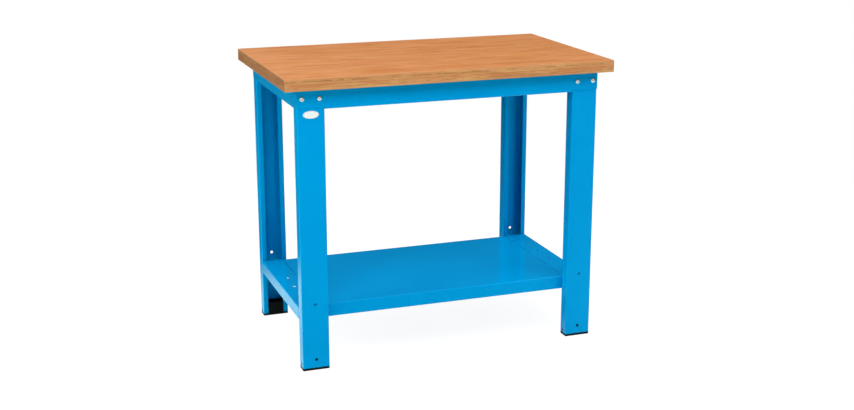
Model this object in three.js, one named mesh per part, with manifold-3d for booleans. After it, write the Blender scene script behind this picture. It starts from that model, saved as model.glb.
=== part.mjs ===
// Assembly table: a bolted sheet-steel frame with a wooden worktop and a lower shelf.
// Millimetres. +X runs along the width, +Y from the front to the back, +Z up.
// The origin is on the floor, under the middle of the worktop.

import * as THREE from 'three';
import { mergeVertices } from 'three/addons/utils/BufferGeometryUtils.js';
import Module from 'manifold-3d';

const wasm = await Module();
wasm.setup();

// ---------------------------------------------------------------- driving dimensions

// worktop
const TOP_WIDTH = 1000;
const TOP_DEPTH = 600;
const TOP_THICKNESS = 35;
const TOP_UNDERSIDE = 830;          // height of the worktop's underside
const TOP_EASE = 1.5;               // eased arris all round

// legs: lipped C channels
const SHEET = 2;                    // frame sheet thickness
const BEND = 2;                     // centreline bend radius of the frame sheet
const BEND_STEPS = 6;               // facets round each bend
const LEG_WIDTH = 80;               // across the web
const LEG_DEPTH = 38;               // across the flange
const LEG_LIP = 15;
const LEG_X = 420;                  // leg centre, left and right of the middle
const LEG_FACE_Y = 270;             // outer face of the web, in front and behind
const LEG_BOTTOM = 7.5;              // the leg stands on its foot cap
const LEG_HOLE_R = 4.7;             // accessory holes on the web's middle line
const LEG_HOLES_Z = [32, 202];
const SNAP_SLOT = { y: 20, z: 16, width: 7, height: 8 };  // foot cap snap slots in both flanges

// foot caps
const CAP_BASE = LEG_BOTTOM;        // visible foot thickness
const CAP_TOP = 42;                 // top of the plug inside the channel
const CAP_GAP = 0.5;                // play between plug and channel
const CAP_WALL = 3.5;

// front and rear beams
const BEAM_HEIGHT = 58;
const BEAM_TOP_FLANGE = 40;
const BEAM_BOTTOM_FLANGE = 24;
const BEAM_HALF = 378.5;            // half length of the folded part, between the legs
const BEAM_TAB_END = 460;           // the flat end tabs lap over the legs
const BOLT_Z = 803;
const BOLT_X = [25, -25];           // either side of the leg's middle line
const BOLT_HOLE_R = 4.5;

// upper side rails
const RAIL_HALF = 232;              // half length, between the lips of the legs
const RAIL_FACE_X = 460;            // outer face, flush with the legs
const RAIL_TOP_FLANGE = 40;
const RAIL_BOTTOM_FLANGE = 24;
const RAIL_HOLES_Y = [-208, 208];   // accessory holes near both ends
const RAIL_HOLE_Z = 800;
const RAIL_HOLE_R = 4;

// lower side rails
const LOWER_TOP = 185.5;            // top face, level with the shelf
const LOWER_HEIGHT = 36.5;
const LOWER_INNER_X = 391;          // inner side, next to the shelf's side fold
const LOWER_LEDGE_END = 377.5;      // inner end of the ledge that carries the shelf
const LOWER_LEDGE_HALF = 211;       // the ledge stops short of the shelf's returned edges
const LOWER_HOLES_Y = [-43, 43];
const LOWER_HOLE_X = 424;
const LOWER_HOLE_R = 5.5;

// lower shelf
const SHELF_SHEET = 1.5;
const SHELF_BEND = 2.25;
const SHELF_TOP = LOWER_TOP;
const SHELF_HALF_WIDTH = 389.5;     // outer faces of the side folds, beside the rails
const SHELF_HALF_DEPTH = 230.5;
const SHELF_RELIEF = 4.5;           // notch at each folded corner
const SHELF_APRON = 40;
const SHELF_RETURN = 16;

// shelf stiffener
const HAT_HALF = 366;
const HAT_HEIGHT = 24;
const HAT_CROWN = 54;
const HAT_FLANGE = 18;

// fasteners
const M8 = { r: 4, length: 20, headR: 7, headH: 4.4, socketR: 2.9, socketDepth: 2.6 };
const NUT = { flangeR: 8.9, flangeH: 1.6, across: 13, height: 8, boreR: 4.3 };
const SCREW = { r: 2.5, length: 25, headR: 4.9, headH: 3, pilotR: 2.9, pilotDepth: 27, holeR: 3.2 };
const BEAM_SCREWS_X = [-300, 0, 300];
const BEAM_SCREW_INSET = 22;        // from the beam's outer face
const RAIL_SCREW_INSET = 20;        // from the rail's outer face

// badge
const BADGE = { x: -420, z: 758, rx: 23, rz: 11, thickness: 1.2 };

// ---------------------------------------------------------------- materials

const paint = (c = 0x0a93d6) => new THREE.MeshStandardMaterial({ color: c, roughness: 0.35, metalness: 0.0 });
const bluePaint = paint();
const wood = new THREE.MeshStandardMaterial({ color: 0xd08a56, roughness: 0.55, metalness: 0.0 });
const zinc = new THREE.MeshStandardMaterial({ color: 0xc9ccd0, roughness: 0.3, metalness: 1.0 });
const blackPlastic = new THREE.MeshStandardMaterial({ color: 0x101012, roughness: 0.6, metalness: 0.0 });
const whiteEnamel = new THREE.MeshStandardMaterial({ color: 0xf2f4f6, roughness: 0.3, metalness: 0.0 });

// ---------------------------------------------------------------- solids

// A closed geometry with its shared vertices merged and its faces pointing out.
function welded(geometry) {
  const g = geometry.clone();
  for (const name of Object.keys(g.attributes)) if (name !== 'position') g.deleteAttribute(name);
  const merged = mergeVertices(g, 1e-4);
  const p = merged.attributes.position.array;
  const source = merged.index.array;
  const index = [];
  let volume = 0;
  for (let i = 0; i < source.length; i += 3) {
    const [a, b, c] = [source[i], source[i + 1], source[i + 2]];
    if (a === b || b === c || c === a) continue;
    index.push(a, b, c);
    const [ax, ay, az] = p.slice(3 * a, 3 * a + 3);
    const [bx, by, bz] = p.slice(3 * b, 3 * b + 3);
    const [cx, cy, cz] = p.slice(3 * c, 3 * c + 3);
    volume += ax * (by * cz - bz * cy) + ay * (bz * cx - bx * cz) + az * (bx * cy - by * cx);
  }
  if (volume < 0) for (let i = 0; i < index.length; i += 3) [index[i], index[i + 1]] = [index[i + 1], index[i]];
  return { positions: new Float32Array(p), index: new Uint32Array(index) };
}

function solid(geometry) {
  const { positions, index } = welded(geometry);
  return new wasm.Manifold(new wasm.Mesh({ numProp: 3, vertProperties: positions, triVerts: index }));
}

function geometryOf(body) {
  const mesh = body.getMesh();
  const g = new THREE.BufferGeometry();
  g.setAttribute('position', new THREE.BufferAttribute(new Float32Array(mesh.vertProperties), 3));
  g.setIndex(new THREE.BufferAttribute(new Uint32Array(mesh.triVerts), 1));
  g.computeVertexNormals();
  return g;
}

const cutAll = (body, cutters) => cutters.reduce((acc, c) => acc.subtract(c), body);
const joinAll = (body, others) => others.reduce((acc, o) => acc.add(o), body);

// A box given by its lowest and highest corners.
function boxBetween(lo, hi) {
  const g = new THREE.BoxGeometry(hi[0] - lo[0], hi[1] - lo[1], hi[2] - lo[2]);
  g.translate((lo[0] + hi[0]) / 2, (lo[1] + hi[1]) / 2, (lo[2] + hi[2]) / 2);
  return solid(g);
}

// A round cutter along one axis, centred on a point.
function roundBar(axis, centre, radius, length, segments = 28) {
  const g = new THREE.CylinderGeometry(radius, radius, length, segments);
  if (axis === 'z') g.rotateX(Math.PI / 2);
  if (axis === 'x') g.rotateZ(Math.PI / 2);
  g.translate(...centre);
  return solid(g);
}

// ---------------------------------------------------------------- folded sheet

// The outline of a folded sheet: a centreline with its corners rounded to the bend radius,
// offset by half the thickness to both sides.
function foldedOutline(points, thickness, bend, segments = 3) {
  const line = [];
  const push = (x, y, nx, ny) => line.push({ x, y, nx, ny });
  const dir = (a, b) => {
    const l = Math.hypot(b[0] - a[0], b[1] - a[1]);
    return [(b[0] - a[0]) / l, (b[1] - a[1]) / l];
  };
  const last = points.length - 1;
  let d = dir(points[0], points[1]);
  push(points[0][0], points[0][1], -d[1], d[0]);
  for (let i = 1; i < last; i++) {
    const d0 = dir(points[i - 1], points[i]);
    const d1 = dir(points[i], points[i + 1]);
    const turn = Math.atan2(d0[0] * d1[1] - d0[1] * d1[0], d0[0] * d1[0] + d0[1] * d1[1]);
    const cut = bend * Math.tan(Math.abs(turn) / 2);
    const side = Math.sign(turn);
    const sx = points[i][0] - d0[0] * cut;
    const sy = points[i][1] - d0[1] * cut;
    const cx = sx - d0[1] * bend * side;
    const cy = sy + d0[0] * bend * side;
    for (let k = 0; k <= segments; k++) {
      const a = (turn * k) / segments;
      const rx = d0[1] * side;
      const ry = -d0[0] * side;
      const ox = rx * Math.cos(a) - ry * Math.sin(a);
      const oy = rx * Math.sin(a) + ry * Math.cos(a);
      push(cx + ox * bend, cy + oy * bend, -ox * side, -oy * side);
    }
  }
  d = dir(points[last - 1], points[last]);
  push(points[last][0], points[last][1], -d[1], d[0]);
  const h = thickness / 2;
  const left = line.map((p) => new THREE.Vector2(p.x + p.nx * h, p.y + p.ny * h));
  const right = line.map((p) => new THREE.Vector2(p.x - p.nx * h, p.y - p.ny * h)).reverse();
  return new THREE.Shape([...left, ...right]);
}

const extrude = (shape, depth) => new THREE.ExtrudeGeometry(shape, { depth, bevelEnabled: false, steps: 1 });

// An outline in (y, z) extruded along x, centred.
function alongX(shape, half) {
  const g = extrude(shape, 2 * half);
  g.translate(0, 0, -half);
  g.applyMatrix4(new THREE.Matrix4().makeBasis(
    new THREE.Vector3(0, 1, 0), new THREE.Vector3(0, 0, 1), new THREE.Vector3(1, 0, 0)));
  return g;
}

// An outline in (z, x) extruded along y, centred.
function alongY(shape, half) {
  const g = extrude(shape, 2 * half);
  g.translate(0, 0, -half);
  g.applyMatrix4(new THREE.Matrix4().makeBasis(
    new THREE.Vector3(0, 0, 1), new THREE.Vector3(1, 0, 0), new THREE.Vector3(0, 1, 0)));
  return g;
}

// A rectangle with rounded corners.
function roundedRect(x0, y0, x1, y1, r, segments = 4) {
  const pts = [];
  const arc = (cx, cy, from) => {
    for (let k = 0; k <= segments; k++) {
      const a = from + (Math.PI / 2) * (k / segments);
      pts.push(new THREE.Vector2(cx + r * Math.cos(a), cy + r * Math.sin(a)));
    }
  };
  arc(x1 - r, y1 - r, 0);
  arc(x0 + r, y1 - r, Math.PI / 2);
  arc(x0 + r, y0 + r, Math.PI);
  arc(x1 - r, y0 + r, 1.5 * Math.PI);
  return new THREE.Shape(pts);
}

// ---------------------------------------------------------------- worktop

function worktop() {
  const ease = TOP_EASE;
  const shape = roundedRect(-TOP_WIDTH / 2 + ease, -TOP_DEPTH / 2 + ease, TOP_WIDTH / 2 - ease, TOP_DEPTH / 2 - ease, 1, 2);
  const g = new THREE.ExtrudeGeometry(shape, {
    depth: TOP_THICKNESS - 2 * ease, bevelEnabled: true, bevelThickness: ease, bevelSize: ease, bevelSegments: 3, steps: 1,
  });
  g.translate(0, 0, ease);
  const pilots = screwPlaces().map(([x, y]) => roundBar('z', [x, y, SCREW.pilotDepth / 2 - 1], SCREW.pilotR, SCREW.pilotDepth + 2, 12));
  return geometryOf(cutAll(solid(g), pilots));
}

function screwPlaces() {
  const y = LEG_FACE_Y + SHEET - BEAM_SCREW_INSET;
  const x = RAIL_FACE_X - RAIL_SCREW_INSET;
  return [
    ...BEAM_SCREWS_X.map((bx) => [bx, -y]),
    ...BEAM_SCREWS_X.map((bx) => [bx, y]),
    [-x, 0],
    [x, 0],
  ];
}

// ---------------------------------------------------------------- leg
// Web on y = 0 facing -y, flanges running to +y, lips turned inwards. z = 0 is the leg's lower end.

function leg() {
  const w = LEG_WIDTH / 2;
  const h = SHEET / 2;
  const shape = foldedOutline([
    [-(w - LEG_LIP), LEG_DEPTH - h],
    [-(w - h), LEG_DEPTH - h],
    [-(w - h), h],
    [w - h, h],
    [w - h, LEG_DEPTH - h],
    [w - LEG_LIP, LEG_DEPTH - h],
  ], SHEET, BEND, BEND_STEPS);
  const length = TOP_UNDERSIDE - LEG_BOTTOM;
  const z = (height) => height - LEG_BOTTOM;
  const cuts = [
    ...LEG_HOLES_Z.map((height) => roundBar('y', [0, h, z(height)], LEG_HOLE_R, 12)),
    ...BOLT_X.map((x) => roundBar('y', [x, h, z(BOLT_Z)], BOLT_HOLE_R, 12)),
    ...[-1, 1].map((s) => boxBetween(
      [s > 0 ? w - 5 : -w - 5, SNAP_SLOT.y - SNAP_SLOT.width / 2, z(SNAP_SLOT.z - SNAP_SLOT.height / 2)],
      [s > 0 ? w + 5 : -w + 5, SNAP_SLOT.y + SNAP_SLOT.width / 2, z(SNAP_SLOT.z + SNAP_SLOT.height / 2)])),
  ];
  return geometryOf(cutAll(solid(extrude(shape, length)), cuts));
}

// ---------------------------------------------------------------- foot cap
// Same axes as the leg, with z = 0 on the floor: a foot plate with a hollow plug standing on it.

function footCap() {
  const w = LEG_WIDTH / 2;
  const inner = w - SHEET - CAP_GAP;
  const y0 = SHEET + CAP_GAP;
  const y1 = LEG_DEPTH - SHEET - CAP_GAP;
  const plate = new THREE.ExtrudeGeometry(roundedRect(-w + 0.8, 0.8, w - 0.8, LEG_DEPTH - 0.8, 2.2, 3), {
    depth: CAP_BASE - 0.8, bevelEnabled: true, bevelThickness: 0.8, bevelSize: 0.8, bevelSegments: 1, steps: 1,
  });
  // eased along the floor only: the upper edge is cut back square where the leg stands on it
  plate.translate(0, 0, 0.8);
  const base = solid(plate).intersect(boxBetween([-w - 5, -5, -1], [w + 5, LEG_DEPTH + 5, CAP_BASE]));
  const plug = solid(extrude(roundedRect(-inner, y0, inner, y1, 2, 2), CAP_TOP - CAP_BASE + 1).translate(0, 0, CAP_BASE - 1));
  const pad = boxBetween([-(w - LEG_LIP - CAP_GAP), y1 - 2, CAP_BASE - 1], [w - LEG_LIP - CAP_GAP, LEG_DEPTH, CAP_TOP - 2]);
  const pockets = [-1, 1].map((s) => boxBetween(
    [s > 0 ? CAP_WALL / 2 : -inner + CAP_WALL, y0 + CAP_WALL, CAP_BASE + 6],
    [s > 0 ? inner - CAP_WALL : -CAP_WALL / 2, y1 - CAP_WALL, CAP_TOP + 5]));
  const play = 0.3;
  const nubs = [-1, 1].map((s) => boxBetween(
    [s > 0 ? inner - 1 : -(w - 0.4), SNAP_SLOT.y - SNAP_SLOT.width / 2 + play, SNAP_SLOT.z - SNAP_SLOT.height / 2 + play],
    [s > 0 ? w - 0.4 : -inner + 1, SNAP_SLOT.y + SNAP_SLOT.width / 2 - play, SNAP_SLOT.z + SNAP_SLOT.height / 2 - play]));
  return geometryOf(joinAll(cutAll(joinAll(base, [plug, pad]), pockets), nubs));
}

// ---------------------------------------------------------------- front or rear beam
// Web on y = 0 facing -y, z measured from the floor.

function beam() {
  const h = SHEET / 2;
  const top = TOP_UNDERSIDE;
  const bottom = TOP_UNDERSIDE - BEAM_HEIGHT;
  const channel = solid(alongX(foldedOutline([
    [BEAM_BOTTOM_FLANGE, bottom + h],
    [h, bottom + h],
    [h, top - h],
    [BEAM_TOP_FLANGE, top - h],
  ], SHEET, BEND, BEND_STEPS), BEAM_HALF));
  const clear = BEND + h + 1;        // the tabs start where the bends have run out
  const tabs = [-1, 1].map((s) => {
    const inner = BEAM_HALF - 6;
    const shape = s > 0
      ? roundedRect(inner, bottom + clear, BEAM_TAB_END, top - clear, 4)
      : roundedRect(-BEAM_TAB_END, bottom + clear, -inner, top - clear, 4);
    const g = extrude(shape, SHEET);             // x, z outline, thickness along -y after the turn
    g.rotateX(Math.PI / 2);
    g.translate(0, SHEET, 0);
    return solid(g);
  });
  const holes = [-1, 1].flatMap((s) => BOLT_X.map((x) => roundBar('y', [s * LEG_X + x, h, BOLT_Z], BOLT_HOLE_R, 12)));
  const screws = BEAM_SCREWS_X.map((x) => roundBar('z', [x, BEAM_SCREW_INSET, top - h], SCREW.holeR, 12, 12));
  return geometryOf(cutAll(joinAll(channel, tabs), [...holes, ...screws]));
}

// ---------------------------------------------------------------- upper side rail
// Outline in (z, x): the outer face on x = 0, flanges running to +x; length along y.

function topRail() {
  const h = SHEET / 2;
  const top = TOP_UNDERSIDE;
  const bottom = TOP_UNDERSIDE - BEAM_HEIGHT;
  const body = solid(alongY(foldedOutline([
    [bottom + h, RAIL_BOTTOM_FLANGE],
    [bottom + h, h],
    [top - h, h],
    [top - h, RAIL_TOP_FLANGE],
  ], SHEET, BEND, BEND_STEPS), RAIL_HALF));
  const holes = RAIL_HOLES_Y.map((y) => roundBar('x', [h, y, RAIL_HOLE_Z], RAIL_HOLE_R, 12));
  return geometryOf(cutAll(body, [...holes, roundBar('z', [RAIL_SCREW_INSET, 0, top - h], SCREW.holeR, 12, 12)]));
}

// ---------------------------------------------------------------- lower side rail
// Inverted U in (z, x) with a ledge folded inwards, about the leg's middle line; length along y.

function lowerRail(holeX) {
  const h = SHEET / 2;
  const outer = LEG_WIDTH / 2 - h;
  const inner = LOWER_INNER_X - LEG_X;
  const bottom = LOWER_TOP - LOWER_HEIGHT;
  const body = solid(alongY(foldedOutline([
    [bottom + h, LOWER_LEDGE_END - LEG_X],
    [bottom + h, inner + h],
    [LOWER_TOP - h, inner + h],
    [LOWER_TOP - h, outer],
    [bottom, outer],
  ], SHEET, BEND, BEND_STEPS), RAIL_HALF));
  const ends = [-1, 1].map((s) => boxBetween(
    [inner - 20, s > 0 ? LOWER_LEDGE_HALF : -RAIL_HALF - 1, bottom - 1],
    [inner, s > 0 ? RAIL_HALF + 1 : -LOWER_LEDGE_HALF, bottom + 8]));
  const holes = LOWER_HOLES_Y.map((y) => roundBar('z', [holeX, y, LOWER_TOP - h], LOWER_HOLE_R, 12));
  return geometryOf(cutAll(body, [...ends, ...holes]));
}

// ---------------------------------------------------------------- lower shelf
// A tray with an apron and a returned edge in front and behind, and a plain fold at each side
// that stands on the rail's ledge.

function shelf() {
  const t = SHELF_SHEET;
  const h = t / 2;
  const top = SHELF_TOP;
  const y = SHELF_HALF_DEPTH - h;
  const low = top - SHELF_APRON + h;
  const tray = solid(alongX(foldedOutline([
    [-(SHELF_HALF_DEPTH - SHELF_RETURN), low],
    [-y, low],
    [-y, top - h],
    [y, top - h],
    [y, low],
    [SHELF_HALF_DEPTH - SHELF_RETURN, low],
  ], t, SHELF_BEND, BEND_STEPS), SHELF_HALF_WIDTH - SHELF_RELIEF));
  const x = SHELF_HALF_WIDTH - h;
  const ledge = LOWER_TOP - LOWER_HEIGHT + SHEET;
  const folds = [-1, 1].map((s) => solid(alongY(foldedOutline([
    [top - h, s * (x - 12)],
    [top - h, s * x],
    [ledge, s * x],
  ], t, SHELF_BEND, BEND_STEPS), SHELF_HALF_DEPTH - SHELF_RELIEF)));
  return geometryOf(joinAll(tray, folds));
}

// ---------------------------------------------------------------- shelf stiffener
// A hat section under the middle of the shelf, its flanges against the sheet.

function stiffener() {
  const t = SHELF_SHEET;
  const h = t / 2;
  const under = SHELF_TOP - SHELF_SHEET;
  const up = under - h;
  const low = under - HAT_HEIGHT + h;
  const c = HAT_CROWN / 2 - h;
  return geometryOf(solid(alongX(foldedOutline([
    [-(c + HAT_FLANGE), up],
    [-c, up],
    [-c, low],
    [c, low],
    [c, up],
    [c + HAT_FLANGE, up],
  ], t, SHELF_BEND, BEND_STEPS), HAT_HALF)));
}

// ---------------------------------------------------------------- fasteners

// Button-head bolt along +y: the head stands on y = 0 and domes towards -y.
function bolt() {
  const { r, length, headR, headH } = M8;
  const pts = [[0, -headH]];
  const flat = 3.6;
  for (let k = 0; k <= 3; k++) {
    const a = (k / 3) * (Math.PI / 2);
    pts.push([flat + (headR - flat) * Math.sin(a), -0.9 - (headH - 0.9) * Math.cos(a)]);
  }
  pts.push([headR, 0], [r, 0], [r, length - 1], [r - 1, length], [0, length]);
  const body = solid(new THREE.LatheGeometry(pts.map(([x, y]) => new THREE.Vector2(x, y)), 16));
  const socket = new THREE.CylinderGeometry(M8.socketR, M8.socketR, M8.socketDepth + 2, 6);
  socket.translate(0, -headH + (M8.socketDepth - 2) / 2, 0);
  return geometryOf(body.subtract(solid(socket)));
}

// Flange nut along +y, its flange on y = 0.
function nut() {
  const { flangeR, flangeH, across, height, boreR } = NUT;
  const rim = solid(new THREE.LatheGeometry([
    [0, 0], [flangeR, 0], [flangeR, flangeH], [across / 2, flangeH + 1.4], [0, flangeH + 1.4],
  ].map(([x, y]) => new THREE.Vector2(x, y)), 18));
  const hexR = across / 2 / Math.cos(Math.PI / 6);
  const hex = new THREE.LatheGeometry([
    [0, flangeH], [hexR, flangeH], [hexR, height - 0.8], [hexR - 1.2, height], [0, height],
  ].map(([x, y]) => new THREE.Vector2(x, y)), 6);
  const bore = roundBar('y', [0, height / 2, 0], boreR, height + 4, 18);
  return geometryOf(rim.add(solid(hex)).subtract(bore));
}

// Pan-head wood screw along +z: the head hangs below z = 0.
function woodScrew() {
  const { r, length, headR, headH } = SCREW;
  const profile = [
    [0, -headH], [headR - 1.4, -headH], [headR, -headH + 1.4], [headR, 0],
    [r, 0], [r, length - 6], [0, length],
  ];
  const g = new THREE.LatheGeometry(profile.map(([x, y]) => new THREE.Vector2(x, y)), 12);
  g.rotateX(Math.PI / 2);
  const slots = [
    boxBetween([-2.4, -0.55, -headH - 1], [2.4, 0.55, -headH + 1.7]),
    boxBetween([-0.55, -2.4, -headH - 1], [0.55, 2.4, -headH + 1.7]),
  ];
  return geometryOf(cutAll(solid(g), slots));
}

// Oval plate standing on y = 0 and facing -y, with an eased rim.
function badge() {
  const ease = 0.5;
  const pts = [];
  for (let k = 0; k < 40; k++) {
    const a = (k / 40) * 2 * Math.PI;
    pts.push(new THREE.Vector2((BADGE.rx - ease) * Math.cos(a), (BADGE.rz - ease) * Math.sin(a)));
  }
  const g = new THREE.ExtrudeGeometry(new THREE.Shape(pts), {
    depth: BADGE.thickness - ease, bevelEnabled: true, bevelThickness: ease, bevelSize: ease, bevelSegments: 2, steps: 1,
  });
  g.rotateX(Math.PI / 2);            // extrusion now runs to -y
  const cut = boxBetween([-60, -20, -60], [60, 0, 60]);
  return geometryOf(solid(g).intersect(cut));
}

// ---------------------------------------------------------------- assembly

const table = new THREE.Group();
table.name = 'assembly_table';

function add(parent, name, geometry, material, position = [0, 0, 0], turn = 0) {
  const mesh = new THREE.Mesh(geometry, material);
  mesh.name = name;
  mesh.position.set(...position);
  mesh.rotation.z = turn;
  parent.add(mesh);
  return mesh;
}

add(table, 'table_top', worktop(), wood, [0, 0, TOP_UNDERSIDE]);

// legs with their foot caps
const legGeometry = leg();
const capGeometry = footCap();
for (const [row, s, turn] of [['front', -1, 0], ['rear', 1, Math.PI]]) {
  for (const [side, x] of [['left', -LEG_X], ['right', LEG_X]]) {
    const corner = new THREE.Group();
    corner.position.set(x, s * LEG_FACE_Y, 0);
    corner.rotation.z = turn;
    add(corner, `leg_${row}_${side}`, legGeometry, bluePaint, [0, 0, LEG_BOTTOM]);
    add(corner, `foot_cap_${row}_${side}`, capGeometry, blackPlastic);
    table.add(corner);
  }
}

// beams with their bolts and nuts
const beamGeometry = beam();
const boltGeometry = bolt();
const nutGeometry = nut();
for (const [row, s, turn] of [['front', -1, 0], ['rear', 1, Math.PI]]) {
  const side = new THREE.Group();
  side.position.set(0, s * (LEG_FACE_Y + SHEET), 0);
  side.rotation.z = turn;
  add(side, `${row}_beam`, beamGeometry, bluePaint);
  const places = [-1, 1].flatMap((e) => BOLT_X.map((x) => e * LEG_X + x)).sort((a, b) => a - b);
  places.forEach((x, i) => {
    add(side, `bolt_${row}_${i + 1}`, boltGeometry, zinc, [x, 0, BOLT_Z]);
    add(side, `nut_${row}_${i + 1}`, nutGeometry, zinc, [x, 2 * SHEET, BOLT_Z]);
  });
  table.add(side);
}

// upper side rails
const topRailGeometry = topRail();
add(table, 'top_rail_left', topRailGeometry, bluePaint, [-RAIL_FACE_X, 0, 0]);
add(table, 'top_rail_right', topRailGeometry, bluePaint, [RAIL_FACE_X, 0, 0], Math.PI);

// lower side rails and the shelf they carry
const lowerRailGeometry = lowerRail(LOWER_HOLE_X - LEG_X);
add(table, 'lower_rail_right', lowerRailGeometry, bluePaint, [LEG_X, 0, 0]);
add(table, 'lower_rail_left', lowerRailGeometry, bluePaint, [-LEG_X, 0, 0], Math.PI);
add(table, 'lower_shelf', shelf(), bluePaint);
add(table, 'shelf_stiffener', stiffener(), bluePaint);

// worktop screws
const screwGeometry = woodScrew();
screwPlaces().forEach(([x, y], i) => {
  add(table, `top_screw_${i + 1}`, screwGeometry, zinc, [x, y, TOP_UNDERSIDE - SHEET]);
});

// badge
add(table, 'badge_plate', badge(), whiteEnamel, [BADGE.x, -LEG_FACE_Y, BADGE.z]);

export default table;
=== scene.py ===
"""Assembly table: blue folded-steel frame, multiplex worktop, lower shelf, bolts and foot caps."""

import math

import bmesh
import bpy
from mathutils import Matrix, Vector


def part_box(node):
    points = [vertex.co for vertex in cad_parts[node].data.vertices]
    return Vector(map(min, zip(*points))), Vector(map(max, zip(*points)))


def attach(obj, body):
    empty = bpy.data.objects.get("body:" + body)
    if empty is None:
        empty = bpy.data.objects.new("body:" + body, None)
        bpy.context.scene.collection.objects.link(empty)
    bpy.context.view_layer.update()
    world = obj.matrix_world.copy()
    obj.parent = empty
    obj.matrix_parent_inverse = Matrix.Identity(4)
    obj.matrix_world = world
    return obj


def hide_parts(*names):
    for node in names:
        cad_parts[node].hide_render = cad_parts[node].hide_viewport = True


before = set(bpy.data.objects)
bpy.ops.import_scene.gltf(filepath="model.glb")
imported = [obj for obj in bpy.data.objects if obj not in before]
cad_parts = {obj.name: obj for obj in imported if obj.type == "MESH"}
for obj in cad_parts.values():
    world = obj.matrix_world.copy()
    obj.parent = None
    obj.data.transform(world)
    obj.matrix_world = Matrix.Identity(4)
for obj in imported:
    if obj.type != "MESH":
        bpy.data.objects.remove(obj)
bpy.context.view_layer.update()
NODES = [o.name for o in bpy.data.objects if o.type == "MESH"]


# ---------------------------------------------------------------- node helpers
class Val:
    """A socket that can be combined with ordinary arithmetic."""

    def __init__(self, mat, sock):
        self.mat, self.sock = mat, sock

    def _math(self, op, *args, clamp=False):
        n = self.mat.add("ShaderNodeMath", operation=op, use_clamp=clamp)
        for i, a in enumerate((self,) + args):
            self.mat.put(n.inputs[i], a)
        return Val(self.mat, n.outputs[0])

    def __add__(self, o):
        return self._math("ADD", o)

    def __sub__(self, o):
        return self._math("SUBTRACT", o)

    def __mul__(self, o):
        return self._math("MULTIPLY", o)

    def __truediv__(self, o):
        return self._math("DIVIDE", o)

    def power(self, o):
        return self._math("POWER", o)

    def floor(self):
        return self._math("FLOOR")

    def frac(self):
        return self._math("FRACT")

    def mod(self, o):
        return self._math("FLOORED_MODULO", o)

    def abs(self):
        return self._math("ABSOLUTE")

    def least(self, o):
        return self._math("MINIMUM", o)

    def most(self, o):
        return self._math("MAXIMUM", o)

    def sqrt(self):
        return self._math("SQRT")

    def ramp(self, lo, hi, a=0.0, b=1.0, smooth=True):
        n = self.mat.add(
            "ShaderNodeMapRange",
            interpolation_type="SMOOTHSTEP" if smooth else "LINEAR",
            clamp=True,
        )
        self.mat.put(n.inputs["Value"], self)
        n.inputs["From Min"].default_value = lo
        n.inputs["From Max"].default_value = hi
        n.inputs["To Min"].default_value = a
        n.inputs["To Max"].default_value = b
        return Val(self.mat, n.outputs["Result"])


class Mat:
    def __init__(self, name):
        self.m = bpy.data.materials.new(name)
        self.m.use_nodes = True
        self.t = self.m.node_tree
        self.t.nodes.clear()
        self.out = self.add("ShaderNodeOutputMaterial")
        self.b = self.add("ShaderNodeBsdfPrincipled")
        self.t.links.new(self.b.outputs["BSDF"], self.out.inputs["Surface"])
        self.co = self.add("ShaderNodeTexCoord").outputs["Object"]
        sep = self.add("ShaderNodeSeparateXYZ")
        self.t.links.new(self.co, sep.inputs[0])
        self.x, self.y, self.z = (Val(self, s) for s in sep.outputs)

    def add(self, kind, **props):
        n = self.t.nodes.new(kind)
        for k, v in props.items():
            setattr(n, k, v)
        return n

    def put(self, sock, v):
        if isinstance(v, Val):
            self.t.links.new(v.sock, sock)
        elif isinstance(v, bpy.types.NodeSocket):
            self.t.links.new(v, sock)
        else:
            sock.default_value = v

    def vec(self, x, y, z):
        n = self.add("ShaderNodeCombineXYZ")
        for s, v in zip(n.inputs, (x, y, z)):
            self.put(s, v)
        return n.outputs[0]

    def normal(self):
        sep = self.add("ShaderNodeSeparateXYZ")
        self.t.links.new(self.add("ShaderNodeNewGeometry").outputs["True Normal"], sep.inputs[0])
        return [Val(self, s) for s in sep.outputs]

    def noise(self, scale, stretch=(1, 1, 1), detail=2.0, rough=0.5, shift=(0, 0, 0), vector=None, distort=0.0):
        mp = self.add("ShaderNodeMapping")
        self.t.links.new(vector or self.co, mp.inputs["Vector"])
        mp.inputs["Scale"].default_value = stretch
        mp.inputs["Location"].default_value = shift
        n = self.add("ShaderNodeTexNoise")
        self.t.links.new(mp.outputs[0], n.inputs["Vector"])
        n.inputs["Scale"].default_value = scale
        n.inputs["Detail"].default_value = detail
        n.inputs["Roughness"].default_value = rough
        n.inputs["Distortion"].default_value = distort
        return Val(self, n.outputs["Fac"])

    def colours(self, fac, stops):
        n = self.add("ShaderNodeValToRGB")
        self.put(n.inputs["Fac"], fac)
        el = n.color_ramp.elements
        el[0].position, el[0].color = stops[0][0], (*stops[0][1], 1)
        el[1].position, el[1].color = stops[-1][0], (*stops[-1][1], 1)
        for p, c in stops[1:-1]:
            e = el.new(p)
            e.color = (*c, 1)
        return n.outputs["Color"]

    def mix(self, fac, a, b, mode="MIX"):
        n = self.add("ShaderNodeMix", data_type="RGBA", blend_type=mode)
        self.put(n.inputs[0], fac)
        for i, c in ((6, a), (7, b)):
            if isinstance(c, (tuple, list)):
                n.inputs[i].default_value = (*c, 1)
            else:
                self.put(n.inputs[i], c)
        return n.outputs[2]

    def bump(self, height, strength, distance):
        n = self.add("ShaderNodeBump")
        self.put(n.inputs["Height"], height)
        n.inputs["Strength"].default_value = strength
        n.inputs["Distance"].default_value = distance
        self.t.links.new(n.outputs[0], self.b.inputs["Normal"])

    def base(self, c):
        self.put(self.b.inputs["Base Color"], c)

    def rough(self, v):
        self.put(self.b.inputs["Roughness"], v)

    def set(self, **v):
        for k, x in v.items():
            self.b.inputs[k.replace("_", " ")].default_value = x


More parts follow.
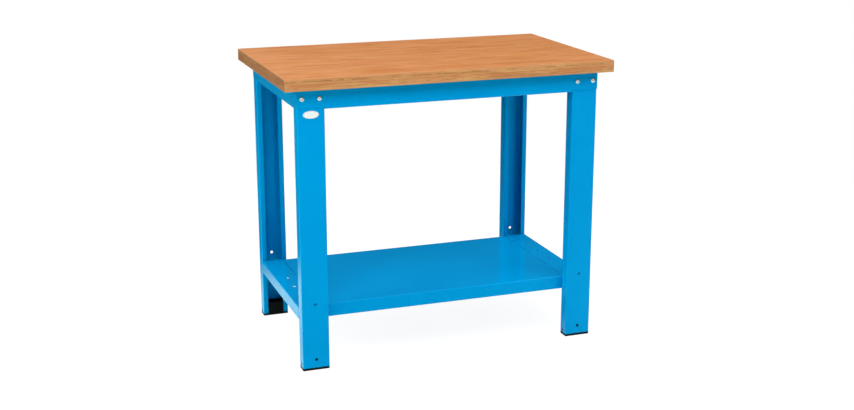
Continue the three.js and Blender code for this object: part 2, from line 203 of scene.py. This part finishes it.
# ---------------------------------------------------------------- materials
def blue_powder_coat():
    m = Mat("blue_powder_coat")
    cloud = m.noise(3.1, detail=3.0, rough=0.55)
    speck = m.noise(420.0, detail=1.0, shift=(3.1, 0.7, 5.3))
    tone = cloud * 0.72 + speck * 0.28
    m.base(
        m.colours(
            tone,
            [(0.25, (0.0, 0.274, 0.645)), (0.5, (0.0, 0.305, 0.692)), (0.75, (0.0, 0.336, 0.740))],
        )
    )
    film = m.noise(17.0, detail=3.0, shift=(1.7, 2.9, 0.4))
    m.rough((film * 0.06 + speck * 0.02) + 0.04)
    peel = m.noise(560.0, detail=1.5, rough=0.45) * 0.7 + m.noise(1500.0, detail=1.0) * 0.3
    m.bump(peel, 0.06, 0.00025)
    m.set(Specular_IOR_Level=0.5, IOR=1.55, Specular_Tint=(0.0, 0.45, 1.0, 1.0))
    return m.m


def beech_multiplex():
    m = Mat("beech_multiplex")
    nx, ny, nz = (n.abs() for n in m.normal())

    # Veneer: long grain along X, with slow drift, fine streaks and short flecks.
    drift = m.noise(1.0, stretch=(1.3, 5.0, 5.0), detail=2.0)
    warped = m.vec(m.x, m.y + drift * 0.035, m.z)
    broad = m.noise(1.0, stretch=(1.5, 20.0, 8.0), detail=3.0, rough=0.55, vector=warped)
    streak = m.noise(1.0, stretch=(5.0, 150.0, 60.0), detail=4.0, rough=0.62, vector=warped)
    hair = m.noise(1.0, stretch=(16.0, 700.0, 200.0), detail=2.0, rough=0.6, vector=warped)
    fleck = m.noise(1.0, stretch=(90.0, 1150.0, 400.0), detail=1.0, shift=(2.0, 5.0, 1.0))
    band = m.noise(1.0, stretch=(7.0, 62.0, 30.0), detail=2.0, rough=0.55, shift=(3.0, 1.3, 0.0), vector=warped)
    grain = broad * 0.22 + band * 0.40 + streak * 0.24 + hair * 0.14
    veneer = m.colours(
        grain,
        [
            (0.40, (0.378, 0.124, 0.037)),
            (0.46, (0.459, 0.166, 0.052)),
            (0.51, (0.512, 0.198, 0.067)),
            (0.56, (0.556, 0.228, 0.082)),
            (0.62, (0.615, 0.272, 0.109)),
        ],
    )
    gold = m.noise(1.0, stretch=(4.0, 44.0, 20.0), detail=2.0, rough=0.5, shift=(9.0, 4.0, 2.0), vector=warped)
    veneer = m.mix(gold.ramp(0.50, 0.66, 0.0, 0.55), veneer, (0.515, 0.236, 0.079))
    mottle = m.noise(1.0, stretch=(7.0, 96.0, 40.0), detail=4.0, rough=0.70, shift=(5.0, 2.0, 7.0), vector=warped)
    veneer = m.mix(mottle.ramp(0.49, 0.63, 0.0, 0.68), veneer, (0.586, 0.266, 0.123))
    veneer = m.mix(mottle.ramp(0.51, 0.37, 0.0, 0.68), veneer, (0.456, 0.158, 0.036))
    veneer = m.mix(fleck.ramp(0.60, 0.72, 0.0, 0.42), veneer, (0.290, 0.094, 0.027))

    # Edges: cross-laid plies, glue lines, open pores where the plies are cut across.
    t = (m.z - 0.830) / 0.035
    wander = (m.noise(1.0, stretch=(9.0, 9.0, 2.0), detail=2.0) - 0.5) * 0.07
    lift = t + wander
    layer = lift * 12.0
    odd = layer.mod(2.0)
    cross = (odd - 1.0).abs()
    cross = cross.ramp(0.42, 0.58)
    seam = (layer.frac() - 0.5).abs().ramp(0.42, 0.495)
    quarter = ((lift * 4.0).frac() - 0.5).abs().ramp(0.37, 0.46)
    inner = (t - 0.5).abs().ramp(0.36, 0.30)
    breaks = m.noise(1.0, stretch=(34.0, 34.0, 60.0), detail=3.0, rough=0.65, shift=(4.0, 1.0, 2.0)).ramp(0.46, 0.57)
    line = quarter * breaks * inner

    pore = m.noise(1.0, stretch=(620.0, 620.0, 900.0), detail=1.0)
    long_grain = m.noise(1.0, stretch=(14.0, 14.0, 700.0), detail=3.0, rough=0.6, shift=(7.0, 3.0, 1.0))
    patch = m.noise(1.0, stretch=(6.0, 6.0, 40.0), detail=3.0, rough=0.6, shift=(0.0, 8.0, 3.0))

    gleam = m.noise(1.0, stretch=(11.0, 11.0, 90.0), detail=2.0, rough=0.55, shift=(6.0, 2.0, 9.0)).ramp(0.50, 0.62)
    heart = (lift - 0.42).abs().ramp(0.13, 0.05)
    heart = heart * m.noise(1.0, stretch=(16.0, 16.0, 30.0), detail=2.0, shift=(1.0, 6.0, 4.0)).ramp(0.42, 0.56)

    def edge(long, cut, glue, tint, swap):
        along = m.colours(long_grain * 0.6 + patch * 0.4, [(0.34, long[0]), (0.52, long[1]), (0.68, long[2])])
        across = m.colours(pore * 0.5 + patch * 0.5, [(0.36, cut[0]), (0.52, cut[1]), (0.66, cut[2])])
        a, b = (across, along) if swap else (along, across)
        c = m.mix(cross, a, b)
        c = m.mix(seam * 0.35, c, glue[0])
        c = m.mix(gleam * 0.60, c, tint[0])
        c = m.mix(heart * 0.55, c, tint[1])
        dark = m.colours(t, [(0.30, glue[1]), (0.44, glue[2]), (0.58, glue[2]), (0.68, glue[3])])
        return m.mix(line * 0.85, c, dark)

    front = edge(
        [(0.488, 0.199, 0.072), (0.592, 0.265, 0.108), (0.660, 0.330, 0.150)],
        [(0.422, 0.165, 0.062), (0.541, 0.233, 0.092), (0.622, 0.292, 0.120)],
        [(0.340, 0.132, 0.046), (0.270, 0.105, 0.034), (0.400, 0.132, 0.046), (0.165, 0.066, 0.018)],
        [(0.630, 0.345, 0.128), (0.540, 0.178, 0.062)],
        False,
    )
    # End edges facing ±X: the same ply pattern in darker colours, a shaded copy of the edge finish, which is painted
    # shade.
    side = edge(
        [(0.258, 0.114, 0.053), (0.323, 0.151, 0.073), (0.371, 0.183, 0.094)],
        [(0.213, 0.095, 0.046), (0.284, 0.133, 0.068), (0.335, 0.162, 0.085)],
        [(0.194, 0.081, 0.035), (0.150, 0.062, 0.027), (0.205, 0.080, 0.036), (0.105, 0.042, 0.017)],
        [(0.345, 0.185, 0.088), (0.270, 0.108, 0.048)],
        True,
    )
    col = m.mix(ny.ramp(0.55, 0.80), veneer, front)
    # Painted shade: the darker end-edge colours go wherever the surface faces ±X.
    col = m.mix(nx.ramp(0.55, 0.80), col, side)
    # Eased edges between the top and the edge faces are turned lighter: partly the paler sanded arris, partly a
    # painted highlight.
    sanded_arris_and_highlight = nz.ramp(0.25, 0.45) * nz.ramp(0.96, 0.86)
    m.base(m.mix(sanded_arris_and_highlight * 0.55, col, (0.640, 0.330, 0.165)))
    m.rough(grain.ramp(0.3, 0.7, 0.50, 0.36, smooth=False) + fleck * 0.06)
    relief = streak * 0.35 + hair * 0.35 + fleck * 0.3
    m.bump(relief, 0.18, 0.0004)
    m.set(Specular_IOR_Level=0.2, IOR=1.45, Specular_Tint=(1.0, 0.8, 0.6, 1.0))
    return m.m


def moulded_black():
    m = Mat("moulded_black_plastic")
    cloud = m.noise(60.0, detail=3.0)
    grit = m.noise(1400.0, detail=2.0, rough=0.6)
    m.base(m.colours(cloud * 0.6 + grit * 0.4, [(0.3, (0.0022, 0.0022, 0.0025)), (0.7, (0.0065, 0.0065, 0.0072))]))
    m.rough(grit.ramp(0.3, 0.7, 0.42, 0.60) + cloud * 0.05)
    m.bump(grit, 0.30, 0.0002)
    m.set(Specular_IOR_Level=0.1)
    return m.m


def bright_zinc():
    m = Mat("bright_zinc")
    crystal = m.noise(900.0, detail=2.0, rough=0.6)
    cloud = m.noise(160.0, detail=3.0, shift=(2.0, 1.0, 4.0))
    m.base(
        m.colours(
            cloud * 0.6 + crystal * 0.4,
            [(0.3, (0.60, 0.61, 0.63)), (0.5, (0.74, 0.745, 0.75)), (0.7, (0.84, 0.84, 0.83))],
        )
    )
    m.rough(cloud.ramp(0.3, 0.7, 0.10, 0.18) + crystal * 0.04)
    m.bump(crystal, 0.10, 0.00012)
    m.set(Metallic=1.0)
    return m.m


def badge_enamel():
    m = Mat("badge_enamel")
    u = (m.x + 0.420) / 0.023
    v = (m.z - 0.758) / 0.011
    r = (u * u + v * v).sqrt()
    cloud = m.noise(220.0, detail=2.0)
    field = m.colours(cloud, [(0.3, (0.80, 0.82, 0.84)), (0.7, (0.88, 0.89, 0.90))])
    rim = m.colours(cloud, [(0.3, (0.60, 0.63, 0.66)), (0.7, (0.70, 0.72, 0.74))])
    ring = (r - 0.90).abs().ramp(0.055, 0.035)
    m.base(m.mix(ring, field, rim))
    m.rough(cloud.ramp(0.3, 0.7, 0.18, 0.28))
    m.bump(ring, 0.35, 0.0002)
    m.set(Specular_IOR_Level=0.5)
    return m.m


PAINT = blue_powder_coat()
WOOD = beech_multiplex()
BLACK = moulded_black()
ZINC = bright_zinc()
BADGE = badge_enamel()


def finish_for(name):
    if name == "table_top":
        return WOOD
    if name.startswith("foot_cap"):
        return BLACK
    if name.startswith(("bolt", "nut", "top_screw")):
        return ZINC
    if name == "badge_plate":
        return BADGE
    return PAINT


# ---------------------------------------------------------------- softened edges of the folded parts
def joined_faces():
    g = bpy.data.node_groups.new("joined_faces", "GeometryNodeTree")
    g.interface.new_socket("Geometry", in_out="INPUT", socket_type="NodeSocketGeometry")
    g.interface.new_socket("Geometry", in_out="OUTPUT", socket_type="NodeSocketGeometry")
    last = g.nodes.new("NodeGroupInput").outputs[0]
    weld = g.nodes.new("GeometryNodeMergeByDistance")
    weld.inputs["Distance"].default_value = 2e-6
    g.links.new(last, weld.inputs["Geometry"])
    last = weld.outputs["Geometry"]
    for attr in ("custom_normal", "sharp_edge", "sharp_face"):
        n = g.nodes.new("GeometryNodeRemoveAttribute")
        n.inputs["Name"].default_value = attr
        g.links.new(last, n.inputs["Geometry"])
        last = n.outputs["Geometry"]
    g.links.new(last, g.nodes.new("NodeGroupOutput").inputs[0])
    return g


def smooth_bends(limit):
    g = bpy.data.node_groups.new("smooth_bends", "GeometryNodeTree")
    g.interface.new_socket("Geometry", in_out="INPUT", socket_type="NodeSocketGeometry")
    g.interface.new_socket("Geometry", in_out="OUTPUT", socket_type="NodeSocketGeometry")
    last = g.nodes.new("NodeGroupInput").outputs[0]
    angle = g.nodes.new("GeometryNodeInputMeshEdgeAngle")
    above = g.nodes.new("FunctionNodeCompare")
    above.data_type, above.operation = "FLOAT", "LESS_THAN"
    g.links.new(angle.outputs["Unsigned Angle"], above.inputs["A"])
    above.inputs["B"].default_value = limit
    faces = g.nodes.new("GeometryNodeSetShadeSmooth")
    faces.domain = "FACE"
    faces.inputs["Shade Smooth"].default_value = True
    g.links.new(last, faces.inputs["Geometry"])
    edges = g.nodes.new("GeometryNodeSetShadeSmooth")
    edges.domain = "EDGE"
    g.links.new(faces.outputs["Geometry"], edges.inputs["Geometry"])
    g.links.new(above.outputs["Result"], edges.inputs["Shade Smooth"])
    g.links.new(edges.outputs["Geometry"], g.nodes.new("NodeGroupOutput").inputs[0])
    return g


JOIN = joined_faces()
SMOOTH = smooth_bends(math.radians(42))


def soften(o, width, segments=2):
    j = o.modifiers.new("join", "NODES")
    j.node_group = JOIN
    d = o.modifiers.new("flats", "DECIMATE")
    d.decimate_type = "DISSOLVE"
    d.angle_limit = math.radians(0.3)
    if width:
        b = o.modifiers.new("edges", "BEVEL")
        b.width = width
        b.segments = segments
        b.limit_method = "ANGLE"
        b.angle_limit = math.radians(50)
        b.use_clamp_overlap = True
        b.miter_outer = "MITER_ARC"
    s = o.modifiers.new("smooth", "NODES")
    s.node_group = SMOOTH
    w = o.modifiers.new("normals", "WEIGHTED_NORMAL")
    w.keep_sharp = True
    w.weight = 80


EDGE = {"table_top": 0.0004, "badge_plate": 0.0003}


def edge_for(name):
    if name in EDGE:
        return EDGE[name]
    if name.startswith("foot_cap"):
        return 0.0006
    if name.startswith("top_screw"):
        return 0.00015
    return 0.00035


# ---------------------------------------------------------------- fasteners
def circle(r):
    return lambda a: r


def hexagon(across_flats, limit=None):
    half = across_flats / 2

    def radius(a):
        k = (a + math.pi / 6) % (math.pi / 3) - math.pi / 6
        r = half / math.cos(k)
        return r if limit is None else min(r, limit)

    return radius


def ring(bm, n, height, radius):
    return [
        bm.verts.new((radius(2 * math.pi * i / n) * math.cos(2 * math.pi * i / n), radius(2 * math.pi * i / n) * math.sin(2 * math.pi * i / n), height))
        for i in range(n)
    ]


def skin(bm, rings):
    for a, b in zip(rings, rings[1:]):
        n = len(a)
        for i in range(n):
            bm.faces.new((a[i], a[(i + 1) % n], b[(i + 1) % n], b[i]))


def fan(bm, loop, height):
    c = bm.verts.new((0, 0, height))
    n = len(loop)
    for i in range(n):
        bm.faces.new((c, loop[i], loop[(i + 1) % n]))


def thread(bm, n, top, length, pitch, crest, root):
    """Helical ridge around Z from top down; returns its two end loops, which the caller closes with flat faces."""
    turns = int(length / pitch)
    rows = 4 * turns + 1
    grid = {}

    def vert(j, i):
        if i == n:
            return vert(j + 4, 0)
        if (j, i) not in grid:
            s = j + 4 * i / n
            fade = min(1.0, s / 5.0, max(0.0, (rows + 3 - s) / 6.0))
            high = (crest, crest, root, root)[j % 4]
            r = root + (high - root) * fade
            off = (0.0, 0.18, 0.5, 0.68)[j % 4] + j // 4
            a = 2 * math.pi * i / n
            grid[j, i] = bm.verts.new((r * math.cos(a), r * math.sin(a), top - (off + i / n) * pitch))
        return grid[j, i]

    for j in range(rows - 1):
        for i in range(n):
            bm.faces.new((vert(j, i), vert(j + 1, i), vert(j + 1, i + 1), vert(j, i + 1)))
    first = [vert(0, i) for i in range(n)] + [vert(4, 0), vert(3, 0), vert(2, 0), vert(1, 0)]
    j = rows - 1
    last = [vert(j, i) for i in range(n + 1)]
    last += [vert(j + k, 0) for k in (3, 2, 1)]
    return first, last


def bolt_mesh(name):
    """Button-head bolt: head up +Z from the bearing plane z = 0, shank below. Millimetres."""
    bm = bmesh.new()
    n, h = 48, 4.4
    key = 5.0
    dome = []
    for k in range(9):
        a = math.radians(12 + k * 9.2)
        dome.append((h - 3.72 * (1 - math.cos(a)) / (1 - math.cos(math.radians(85.6))) * 0.98, 3.7 + (6.96 - 3.7) * (math.sin(a) - math.sin(math.radians(12))) / (math.sin(math.radians(85.6)) - math.sin(math.radians(12)))))
    rings = [ring(bm, n, h - 2.6, hexagon(key * 0.985))]
    rings.append(ring(bm, n, h - 0.40, hexagon(key)))
    rings.append(ring(bm, n, h - 0.10, hexagon(key + 0.35)))
    rings.append(ring(bm, n, h, hexagon(key + 0.75, 3.05)))
    rings.append(ring(bm, n, h, circle(3.45)))
    for z, r in dome:
        rings.append(ring(bm, n, z, circle(r)))
    rings.append(ring(bm, n, 0.35, circle(7.0)))
    rings.append(ring(bm, n, 0.08, circle(6.9)))
    rings.append(ring(bm, n, 0.0, circle(6.7)))
    rings.append(ring(bm, n, 0.0, circle(4.25)))
    rings.append(ring(bm, n, -0.12, circle(4.02)))
    rings.append(ring(bm, n, -0.4, circle(3.96)))
    rings.append(ring(bm, n, -2.2, circle(3.96)))
    rings.append(ring(bm, n, -2.6, circle(3.62)))
    skin(bm, rings)
    fan(bm, list(reversed(rings[0])), h - 3.1)
    # The threaded length, and the chamfered tip under it.
    core = [
        ring(bm, n, -2.6, circle(3.30)),
        ring(bm, n, -19.2, circle(3.30)),
        ring(bm, n, -20.0, circle(2.7)),
    ]
    skin(bm, [rings[-1]] + core)
    fan(bm, core[-1], -20.0)
    bmesh.ops.recalc_face_normals(bm, faces=bm.faces)
    ridge = bmesh.new()
    first, last = thread(ridge, 32, -2.75, 16.0, 1.25, 4.0, 3.28)
    ridge.faces.new(first)
    ridge.faces.new(last)
    bmesh.ops.recalc_face_normals(ridge, faces=ridge.faces)
    part = bpy.data.meshes.new(name + "_ridge")
    ridge.to_mesh(part)
    bm.from_mesh(part)
    ridge.free()
    bpy.data.meshes.remove(part)
    return bm


def nut_mesh(name):
    """Hexagon flange nut: bearing plane z = 0, body up +Z. Millimetres."""
    bm = bmesh.new()
    n, h = 48, 8.0
    profile = [
        (0.0, circle(4.6)),
        (0.0, circle(8.55)),
        (0.18, circle(8.82)),
        (0.9, circle(8.9)),
        (1.25, circle(8.78)),
        (2.1, hexagon(13.0, 7.55)),
        (2.6, hexagon(13.0)),
        (7.05, hexagon(13.0)),
        (7.45, hexagon(13.0, 7.2)),
        (7.78, hexagon(13.0, 6.75)),
        (8.0, circle(6.2)),
        (8.0, circle(4.75)),
        (7.55, circle(4.25)),
        (0.45, circle(4.25)),
    ]
    rings = [ring(bm, n, z, r) for z, r in profile]
    skin(bm, rings + [rings[0]])
    bmesh.ops.recalc_face_normals(bm, faces=bm.faces)
    return bm


def place(name, bm, origin, outward, turn, replaced, material):
    """Puts a turned part at origin (metres) with its +Z along outward (+1 or -1 on Y)."""
    c, s = math.cos(turn), math.sin(turn)
    for v in bm.verts:
        x, y, z = v.co
        px, py = c * x - s * y, s * x + c * y
        # +Z of the part goes to outward * Y, and the part keeps its handedness.
        v.co = Vector((px * outward * -1, z * outward, py)) * 0.001 + origin
    bmesh.ops.recalc_face_normals(bm, faces=bm.faces)
    me = bpy.data.meshes.new(name)
    bm.to_mesh(me)
    bm.free()
    o = bpy.data.objects.new(name, me)
    bpy.context.scene.collection.objects.link(o)
    me.materials.append(material)
    sm = o.modifiers.new("smooth", "NODES")
    sm.node_group = SMOOTH
    w = o.modifiers.new("normals", "WEIGHTED_NORMAL")
    w.keep_sharp = True
    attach(o, "root")
    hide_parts(replaced)
    return o


for side, outward in (("front", -1), ("rear", 1)):
    for k in range(1, 5):
        node = f"bolt_{side}_{k}"
        lo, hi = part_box(node)
        mid = (lo + hi) / 2
        face = (lo.y + 0.0044) if outward < 0 else (hi.y - 0.0044)
        place(f"button_bolt_{side}_{k}", bolt_mesh(node), Vector((mid.x, face, mid.z)), outward, 0.35 + 0.9 * k, node, ZINC)
        node = f"nut_{side}_{k}"
        lo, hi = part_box(node)
        mid = (lo + hi) / 2
        face = lo.y if outward < 0 else hi.y
        place(f"flange_nut_{side}_{k}", nut_mesh(node), Vector((mid.x, face, mid.z)), -outward, 0.2 + 0.55 * k, node, ZINC)

REPLACED = [f"{p}_{s}_{k}" for p in ("bolt", "nut") for s in ("front", "rear") for k in range(1, 5)]
for name in NODES:
    o = bpy.data.objects[name]
    o.data.materials.clear()
    o.data.materials.append(finish_for(name))
    if name not in REPLACED:
        soften(o, edge_for(name))

# ---------------------------------------------------------------- floor, light, camera
scene = bpy.context.scene
scene.view_settings.view_transform = "Standard"

me = bpy.data.meshes.new("floor")
bm = bmesh.new()
bmesh.ops.create_circle(bm, cap_ends=True, segments=160, radius=2.6)
for v in bm.verts:
    v.co += Vector((0.4, -0.6, -0.0003))
bm.to_mesh(me)
bm.free()
floor = bpy.data.objects.new("floor", me)
scene.collection.objects.link(floor)
fm = Mat("pale_floor")
seen_floor = Val(fm, fm.add("ShaderNodeLightPath").outputs["Is Camera Ray"])
paper = fm.colours(fm.noise(0.8, detail=2.0), [(0.3, (0.125, 0.125, 0.125)), (0.7, (0.135, 0.135, 0.135))])
# For reflection and bounce rays the floor is a cyan-tinted pale colour that fades to near black towards +Y behind
# the table, which is painted shade standing in for the table's shadow. Camera rays see the plain, evenly bright
# floor.
bounce_tint_and_painted_shade = fm.colours(fm.y.ramp(0.40, 0.90), [(0.0, (0.72, 0.88, 0.83)), (1.0, (0.02, 0.025, 0.025))])
fm.base(fm.mix(seen_floor, bounce_tint_and_painted_shade, paper))
fm.put(fm.b.inputs["Emission Strength"], seen_floor * 0.93)
fm.set(Roughness=0.9, Specular_IOR_Level=0.0, Emission_Color=(1.0, 1.0, 1.0, 1.0))
me.materials.append(fm.m)

# A white room: bright overhead and in front below the horizon, dim behind the table.
world = bpy.data.worlds.new("studio")
world.use_nodes = True
scene.world = world
wt = world.node_tree
wt.nodes.clear()


def wnode(kind, **props):
    n = wt.nodes.new(kind)
    for k, v in props.items():
        setattr(n, k, v)
    return n


def wrange(sock, lo, hi, a, b):
    n = wnode("ShaderNodeMapRange", interpolation_type="SMOOTHSTEP")
    wt.links.new(sock, n.inputs["Value"])
    for k, v in (("From Min", lo), ("From Max", hi), ("To Min", a), ("To Max", b)):
        n.inputs[k].default_value = v
    return n.outputs["Result"]


def wmath(op, a, b):
    n = wnode("ShaderNodeMath", operation=op)
    wt.links.new(a, n.inputs[0])
    wt.links.new(b, n.inputs[1])
    return n.outputs[0]


tc = wnode("ShaderNodeTexCoord")
sp = wnode("ShaderNodeSeparateXYZ")
wt.links.new(tc.outputs["Generated"], sp.inputs[0])
sky = wrange(sp.outputs["Z"], 0.38, 0.88, 0.02, 0.98)
ahead = wrange(sp.outputs["Y"], -0.35, 0.05, 0.85, 0.0)
low = wrange(sp.outputs["Z"], -0.12, 0.0, 1.0, 0.0)
light = wmath("ADD", sky, wmath("MULTIPLY", ahead, low))
soft = wnode("ShaderNodeBackground")
wt.links.new(light, soft.inputs["Strength"])
paper = wnode("ShaderNodeBackground")
paper.inputs["Strength"].default_value = 1.0
seen = wnode("ShaderNodeMixShader")
for n in (soft, paper):
    n.inputs["Color"].default_value = (1.0, 1.0, 1.0, 1.0)
wt.links.new(wnode("ShaderNodeLightPath").outputs["Is Camera Ray"], seen.inputs[0])
wt.links.new(soft.outputs[0], seen.inputs[1])
wt.links.new(paper.outputs[0], seen.inputs[2])
wt.links.new(seen.outputs[0], wnode("ShaderNodeOutputWorld").inputs[0])


def softbox(name, at, aim, size, power, tint=(1.0, 1.0, 1.0)):
    li = bpy.data.lights.new(name, "AREA")
    li.color = tint
    li.shape = "RECTANGLE"
    li.size, li.size_y = size
    li.energy = power
    o = bpy.data.objects.new(name, li)
    o.location = at
    o.rotation_euler = (Vector(aim) - Vector(at)).to_track_quat("-Z", "Y").to_euler()
    scene.collection.objects.link(o)
    return o


softbox("key_left", (-1.05, -2.15, 3.05), (0.0, 0.0, 0.45), (1.8, 1.5), 37.3)
softbox("key_right", (1.35, -2.05, 3.05), (0.0, 0.0, 0.45), (1.8, 1.5), 35.4)
softbox("side_right", (3.1, 0.2, 2.3), (0.0, 0.0, 0.45), (1.4, 1.3), 26)
softbox("side_left", (-3.15, -0.3, 1.75), (0.0, 0.0, 0.45), (1.5, 1.3), 75, (1.0, 1.0, 0.84))
softbox("over", (0.0, 0.1, 3.4), (0.0, 0.0, 0.8), (3.2, 2.8), 9)
softbox("rear_fill", (-0.8, 2.7, 3.0), (0.0, 0.0, 0.5), (1.8, 1.2), 24)

cam = bpy.data.cameras.new("camera")
cam.lens = 56.2
cam.sensor_width = 36.0
cam.clip_end = 200.0
co = bpy.data.objects.new("camera", cam)
co.location = (-1.346, -3.792, 1.492)
co.rotation_euler = (math.radians(90 - 15.31), 0.0, math.radians(-19.8))
scene.collection.objects.link(co)
scene.camera = co

bpy.context.view_layer.update()
